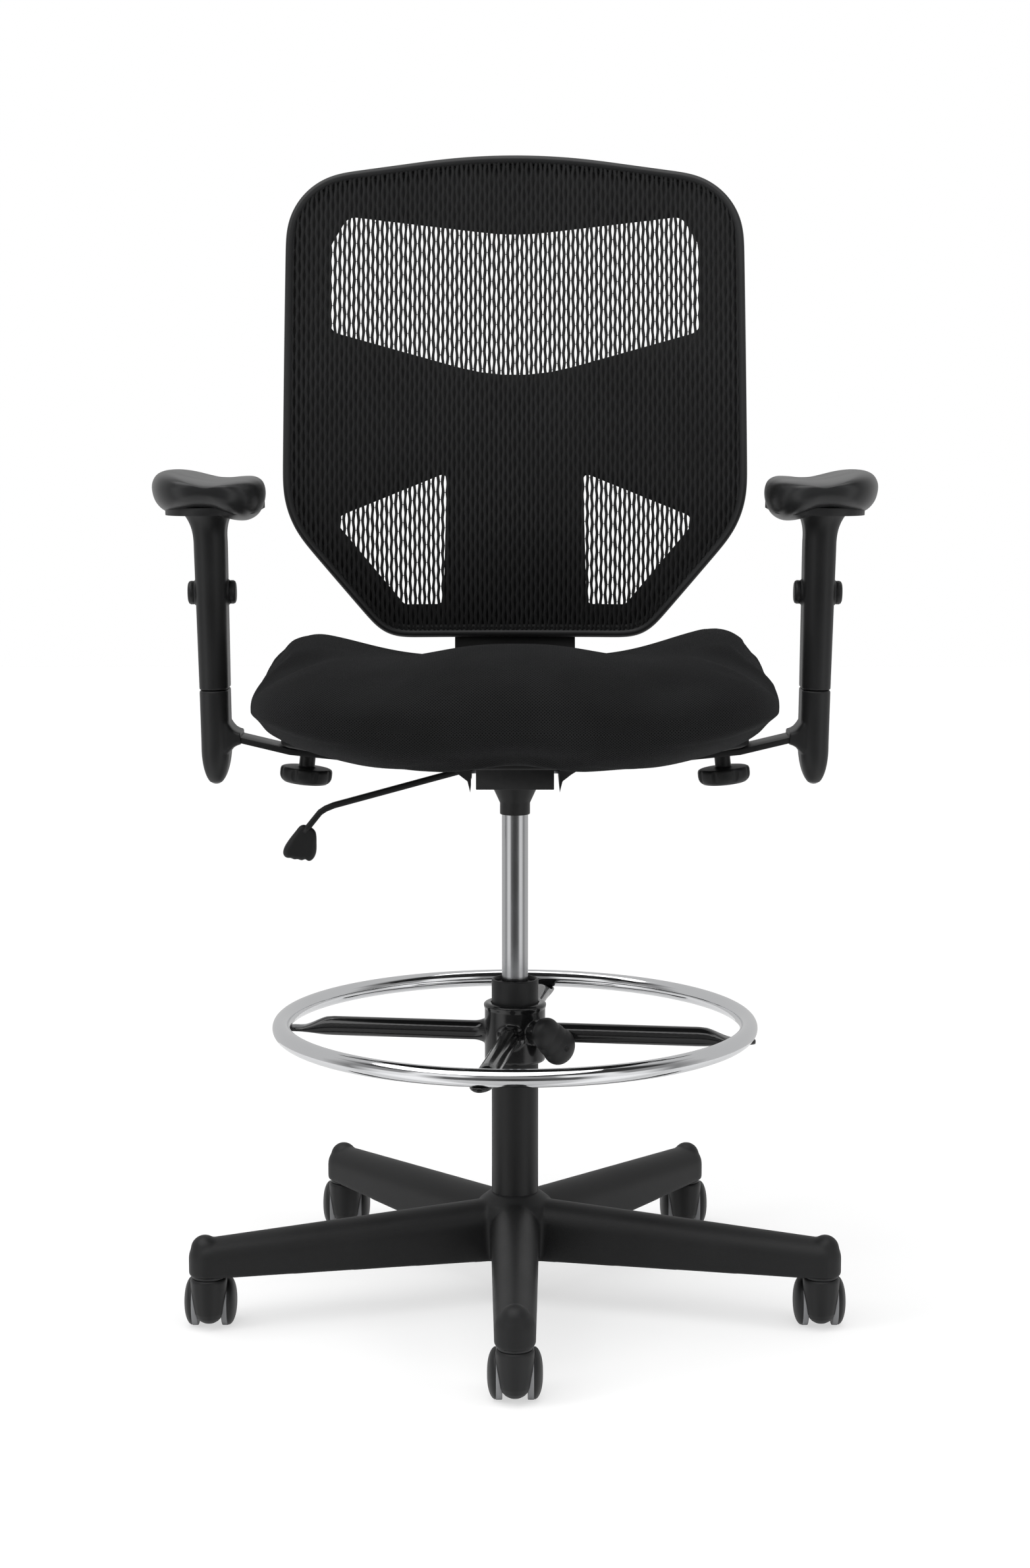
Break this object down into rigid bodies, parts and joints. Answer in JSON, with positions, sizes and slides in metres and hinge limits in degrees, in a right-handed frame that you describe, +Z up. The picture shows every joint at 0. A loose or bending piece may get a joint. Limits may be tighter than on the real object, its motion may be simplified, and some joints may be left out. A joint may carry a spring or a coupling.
{
  "type": "drafting chair",
  "caption": "Tall swivel drafting chair with a padded seat, net back, adjustable arms, foot ring and a star base on twin-wheel casters.",
  "frame": {"origin": "on the floor, on the column axis", "axes": "+Z up, -Y the way the sitter faces, +X to the sitter's left"},
  "size_m": [0.7432, 0.6779, 1.2368],
  "materials": {
    "base_nylon": "textured black nylon",
    "caster_nylon": "smooth black nylon",
    "caster_tyre": "dark grey tread",
    "zinc_steel": "zinc plated",
    "black_steel": "black powder coat",
    "gloss_steel": "gloss black enamel",
    "bush_plastic": "black acetal",
    "chrome": "polished chrome",
    "knob_plastic": "fine textured black",
    "pan_plastic": "moulded black",
    "seat_fabric": "black spacer mesh",
    "back_plastic": "fine textured black",
    "back_fabric": "stretched black net",
    "arm_plastic": "fine textured black",
    "pad_urethane": "soft black urethane"
  },
  "bodies": {
    "base": {"base_star": "base_nylon", "caster_stems": "zinc_steel", "column_tube": "black_steel", "column_bush": "bush_plastic", "thrust_bearing": "zinc_steel"},
    "caster_1": {"caster_1_hood": "caster_nylon", "caster_1_axle": "zinc_steel"},
    "caster_1_left": {"caster_1_wheel_left": "caster_tyre"},
    "caster_1_right": {"caster_1_wheel_right": "caster_tyre"},
    "caster_2": {"caster_2_hood": "caster_nylon", "caster_2_axle": "zinc_steel"},
    "caster_2_left": {"caster_2_wheel_left": "caster_tyre"},
    "caster_2_right": {"caster_2_wheel_right": "caster_tyre"},
    "caster_3": {"caster_3_hood": "caster_nylon", "caster_3_axle": "zinc_steel"},
    "caster_3_left": {"caster_3_wheel_left": "caster_tyre"},
    "caster_3_right": {"caster_3_wheel_right": "caster_tyre"},
    "caster_4": {"caster_4_hood": "caster_nylon", "caster_4_axle": "zinc_steel"},
    "caster_4_left": {"caster_4_wheel_left": "caster_tyre"},
    "caster_4_right": {"caster_4_wheel_right": "caster_tyre"},
    "caster_5": {"caster_5_hood": "caster_nylon", "caster_5_axle": "zinc_steel"},
    "caster_5_left": {"caster_5_wheel_left": "caster_tyre"},
    "caster_5_right": {"caster_5_wheel_right": "caster_tyre"},
    "footrest": {"footring": "chrome", "footring_collar": "gloss_steel"},
    "footrest_clamp": {"footring_knob": "knob_plastic"},
    "piston": {"piston_rod": "zinc_steel"},
    "carrier": {"gas_tube": "chrome", "mechanism_housing": "black_steel", "tilt_pin": "zinc_steel"},
    "lever": {"height_lever": "black_steel", "height_lever_knob": "knob_plastic"},
    "seat": {"seat_plate": "black_steel", "seat_screws": "zinc_steel", "seat_pan": "pan_plastic", "seat_cushion": "seat_fabric", "back_upright": "back_plastic"},
    "back": {"back_shell": "back_plastic", "back_frame": "back_plastic", "back_mesh": "back_fabric"},
    "left_arm": {"left_arm_bar": "black_steel", "left_arm_socket": "arm_plastic", "left_arm_post": "black_steel"},
    "left_rest": {"left_arm_sleeve": "arm_plastic", "left_pad_plate": "arm_plastic", "left_arm_pad": "pad_urethane"},
    "left_knob": {"left_arm_knob": "knob_plastic"},
    "left_button_in": {"left_arm_button_in": "arm_plastic"},
    "left_button_out": {"left_arm_button_out": "arm_plastic"},
    "right_arm": {"right_arm_bar": "black_steel", "right_arm_socket": "arm_plastic", "right_arm_post": "black_steel"},
    "right_rest": {"right_arm_sleeve": "arm_plastic", "right_pad_plate": "arm_plastic", "right_arm_pad": "pad_urethane"},
    "right_knob": {"right_arm_knob": "knob_plastic"},
    "right_button_in": {"right_arm_button_in": "arm_plastic"},
    "right_button_out": {"right_arm_button_out": "arm_plastic"}
  },
  "joints": [
    {"name": "caster_1_swivel", "type": "hinge", "parent": "base", "child": "caster_1", "pos_m": [0, -0.338, 0.06], "axis": [0, 0, 1], "continuous": true},
    {"name": "caster_1_left_roll", "type": "hinge", "parent": "caster_1", "child": "caster_1_left", "pos_m": [0, -0.318, 0.026], "axis": [1, 0, 0], "continuous": true},
    {"name": "caster_1_right_roll", "type": "hinge", "parent": "caster_1", "child": "caster_1_right", "pos_m": [0, -0.318, 0.026], "axis": [1, 0, 0], "continuous": true},
    {"name": "caster_2_swivel", "type": "hinge", "parent": "base", "child": "caster_2", "pos_m": [0.32146, -0.10445, 0.06], "axis": [0, 0, 1], "continuous": true},
    {"name": "caster_2_left_roll", "type": "hinge", "parent": "caster_2", "child": "caster_2_left", "pos_m": [0.32146, -0.08445, 0.026], "axis": [1, 0, 0], "continuous": true},
    {"name": "caster_2_right_roll", "type": "hinge", "parent": "caster_2", "child": "caster_2_right", "pos_m": [0.32146, -0.08445, 0.026], "axis": [1, 0, 0], "continuous": true},
    {"name": "caster_3_swivel", "type": "hinge", "parent": "base", "child": "caster_3", "pos_m": [0.19867, 0.27345, 0.06], "axis": [0, 0, 1], "continuous": true},
    {"name": "caster_3_left_roll", "type": "hinge", "parent": "caster_3", "child": "caster_3_left", "pos_m": [0.19867, 0.29345, 0.026], "axis": [1, 0, 0], "continuous": true},
    {"name": "caster_3_right_roll", "type": "hinge", "parent": "caster_3", "child": "caster_3_right", "pos_m": [0.19867, 0.29345, 0.026], "axis": [1, 0, 0], "continuous": true},
    {"name": "caster_4_swivel", "type": "hinge", "parent": "base", "child": "caster_4", "pos_m": [-0.19867, 0.27345, 0.06], "axis": [0, 0, 1], "continuous": true},
    {"name": "caster_4_left_roll", "type": "hinge", "parent": "caster_4", "child": "caster_4_left", "pos_m": [-0.19867, 0.29345, 0.026], "axis": [1, 0, 0], "continuous": true},
    {"name": "caster_4_right_roll", "type": "hinge", "parent": "caster_4", "child": "caster_4_right", "pos_m": [-0.19867, 0.29345, 0.026], "axis": [1, 0, 0], "continuous": true},
    {"name": "caster_5_swivel", "type": "hinge", "parent": "base", "child": "caster_5", "pos_m": [-0.32146, -0.10445, 0.06], "axis": [0, 0, 1], "continuous": true},
    {"name": "caster_5_left_roll", "type": "hinge", "parent": "caster_5", "child": "caster_5_left", "pos_m": [-0.32146, -0.08445, 0.026], "axis": [1, 0, 0], "continuous": true},
    {"name": "caster_5_right_roll", "type": "hinge", "parent": "caster_5", "child": "caster_5_right", "pos_m": [-0.32146, -0.08445, 0.026], "axis": [1, 0, 0], "continuous": true},
    {"name": "footring_height", "type": "slide", "parent": "base", "child": "footrest", "axis": [0, 0, 1], "range_m": [-0.13, 0.02]},
    {"name": "footring_clamp_turn", "type": "hinge", "parent": "footrest", "child": "footrest_clamp", "pos_m": [0, 0, 0.301], "axis": [0.6428, -0.766, 0], "range_deg": [0, 180]},
    {"name": "seat_swivel", "type": "hinge", "parent": "base", "child": "piston", "pos_m": [0, 0, 0.075], "axis": [0, 0, 1], "continuous": true},
    {"name": "seat_height", "type": "slide", "parent": "piston", "child": "carrier", "axis": [0, 0, 1], "range_m": [-0.14, 0.1]},
    {"name": "height_lever_lift", "type": "hinge", "parent": "carrier", "child": "lever", "pos_m": [-0.0425, 0, 0.583], "axis": [0, 1, 0], "range_deg": [0, 6], "stiffness_Nm_per_rad": 1.5, "springref_deg": -17.19},
    {"name": "seat_tilt", "type": "hinge", "parent": "carrier", "child": "seat", "pos_m": [0, -0.03, 0.585], "axis": [-1, 0, 0], "range_deg": [0, 12], "stiffness_Nm_per_rad": 110, "springref_deg": -25.78},
    {"name": "back_height", "type": "slide", "parent": "seat", "child": "back", "axis": [0, 0.0872, 0.9962], "range_m": [0, 0.07]},
    {"name": "left_arm_width", "type": "slide", "parent": "seat", "child": "left_arm", "axis": [0.9945, 0, 0.1045], "range_m": [-0.01, 0.04]},
    {"name": "left_arm_height", "type": "slide", "parent": "left_arm", "child": "left_rest", "axis": [0.0175, 0, 0.9998], "range_m": [0, 0.075]},
    {"name": "left_arm_knob_turn", "type": "hinge", "parent": "seat", "child": "left_knob", "pos_m": [0.222, 0.045, 0.594], "axis": [0.1045, 0, -0.9945], "range_deg": [0, 270]},
    {"name": "left_button_in_press", "type": "slide", "parent": "left_rest", "child": "left_button_in", "axis": [0.9998, 0, -0.0175], "range_m": [0, 0.003], "stiffness_N_per_m": 500, "springref_m": -0.003},
    {"name": "left_button_out_press", "type": "slide", "parent": "left_rest", "child": "left_button_out", "axis": [-0.9998, 0, 0.0175], "range_m": [0, 0.003], "stiffness_N_per_m": 500, "springref_m": -0.003},
    {"name": "right_arm_width", "type": "slide", "parent": "seat", "child": "right_arm", "axis": [-0.9945, 0, 0.1045], "range_m": [-0.01, 0.04]},
    {"name": "right_arm_height", "type": "slide", "parent": "right_arm", "child": "right_rest", "axis": [-0.0175, 0, 0.9998], "range_m": [0, 0.075]},
    {"name": "right_arm_knob_turn", "type": "hinge", "parent": "seat", "child": "right_knob", "pos_m": [-0.222, 0.045, 0.594], "axis": [-0.1045, 0, -0.9945], "range_deg": [0, 270]},
    {"name": "right_button_in_press", "type": "slide", "parent": "right_rest", "child": "right_button_in", "axis": [-0.9998, 0, -0.0175], "range_m": [0, 0.003], "stiffness_N_per_m": 500, "springref_m": -0.003},
    {"name": "right_button_out_press", "type": "slide", "parent": "right_rest", "child": "right_button_out", "axis": [0.9998, 0, 0.0175], "range_m": [0, 0.003], "stiffness_N_per_m": 500, "springref_m": -0.003}
  ]
}
